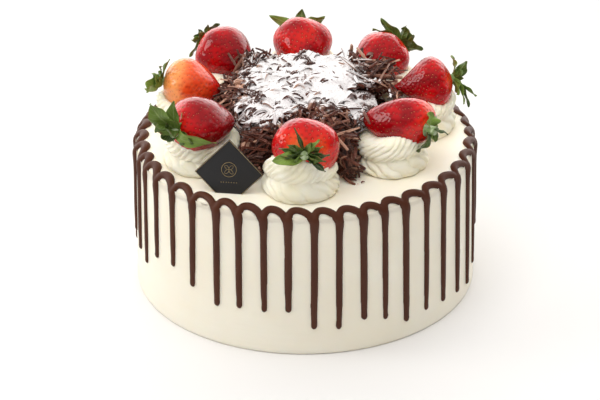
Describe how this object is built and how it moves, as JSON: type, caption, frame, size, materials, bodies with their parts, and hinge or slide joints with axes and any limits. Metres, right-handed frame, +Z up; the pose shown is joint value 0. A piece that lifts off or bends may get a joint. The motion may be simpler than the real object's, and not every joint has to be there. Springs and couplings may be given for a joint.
{
  "type": "chocolate drip cake",
  "caption": "Round tall iced cake with a chocolate drip edge, glazed strawberries on piped cream rosettes, a sugared heap of chocolate shavings and a small square plaque.",
  "frame": {"origin": "middle of the cake's flat underside", "axes": "+Z up, the shown front faces -Y, and +X is to the right as seen from the front"},
  "size_m": [0.2082, 0.2084, 0.1408],
  "materials": {
    "icing": "smooth satin icing with faint scraper marks",
    "cream": "soft matte whipped cream",
    "chocolate": "satin dark chocolate",
    "sugar": "fine matte powder",
    "strawberry": "ripe strawberry under clear glaze",
    "leaf": "soft dull green leaf",
    "plaque": "matte black with a thin gold edge line"
  },
  "bodies": {
    "root": {"cake_body": "icing", "rosette_1": "cream", "rosette_2": "cream", "rosette_3": "cream", "rosette_4": "cream", "rosette_5": "cream", "rosette_6": "cream", "rosette_7": "cream", "rosette_8": "cream", "strawberry_1": "strawberry", "strawberry_2": "strawberry", "strawberry_3": "strawberry", "strawberry_4": "strawberry", "strawberry_5": "strawberry", "strawberry_6": "strawberry", "strawberry_7": "strawberry", "strawberry_8": "strawberry", "calyx_1": "leaf", "calyx_2": "leaf", "calyx_3": "leaf", "calyx_4": "leaf", "calyx_5": "leaf", "calyx_6": "leaf", "calyx_7": "leaf", "calyx_8": "leaf", "shavings_heap": "chocolate", "plaque": "plaque"}
  },
  "joints": []
}
